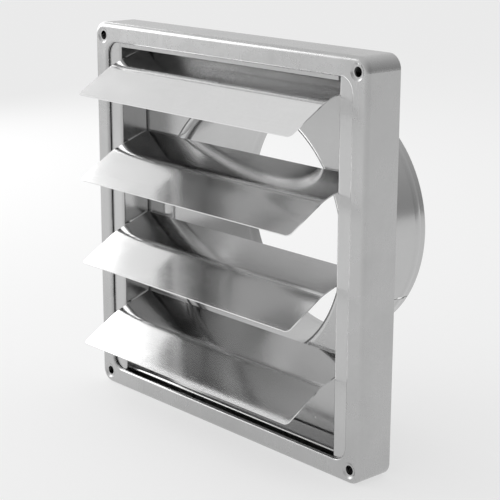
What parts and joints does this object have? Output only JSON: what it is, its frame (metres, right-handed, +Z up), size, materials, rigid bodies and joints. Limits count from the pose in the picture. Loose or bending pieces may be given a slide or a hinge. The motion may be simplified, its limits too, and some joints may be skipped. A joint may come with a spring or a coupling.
{
  "type": "gravity flap vent",
  "caption": "Square wall vent with a rolled cover frame, hinged gravity flaps lifted open and a round duct collar with a bead behind.",
  "frame": {"origin": "centre of the pattern of wall screws, on the wall plane at the rear rim of the cover", "axes": "-Y out of the front towards the viewer, +Y along the duct collar into the wall, +Z up, +X to the right seen from the front"},
  "size_m": [0.155, 0.0838, 0.155],
  "materials": {
    "cover_steel": "smooth stainless sheet with a soft sheen",
    "box_steel": "smooth stainless sheet",
    "flap_steel": "bright mirror-like stainless sheet",
    "collar_steel": "bright rolled stainless sheet",
    "rod_steel": "drawn stainless wire"
  },
  "bodies": {
    "frame": {"front_cover": "cover_steel", "rear_plate": "box_steel", "left_cheek": "box_steel", "right_cheek": "box_steel", "top_strip": "box_steel", "bottom_strip": "box_steel", "spigot": "collar_steel"},
    "flap_1": {"flap_1": "flap_steel", "hinge_rod_1": "rod_steel"},
    "flap_2": {"flap_2": "flap_steel", "hinge_rod_2": "rod_steel"},
    "flap_3": {"flap_3": "flap_steel", "hinge_rod_3": "rod_steel"},
    "flap_4": {"flap_4": "flap_steel", "hinge_rod_4": "rod_steel"}
  },
  "joints": [
    {"name": "flap_1_hinge", "type": "hinge", "parent": "frame", "child": "flap_1", "pos_m": [0, -0.011, 0.06295], "axis": [1, 0, 0], "range_deg": [-18, 62.7]},
    {"name": "flap_2_hinge", "type": "hinge", "parent": "frame", "child": "flap_2", "pos_m": [0, -0.011, 0.02845], "axis": [1, 0, 0], "range_deg": [-18, 62.7]},
    {"name": "flap_3_hinge", "type": "hinge", "parent": "frame", "child": "flap_3", "pos_m": [0, -0.011, -0.00605], "axis": [1, 0, 0], "range_deg": [-18, 62.7]},
    {"name": "flap_4_hinge", "type": "hinge", "parent": "frame", "child": "flap_4", "pos_m": [0, -0.011, -0.04055], "axis": [1, 0, 0], "range_deg": [-18, 62.7]}
  ]
}
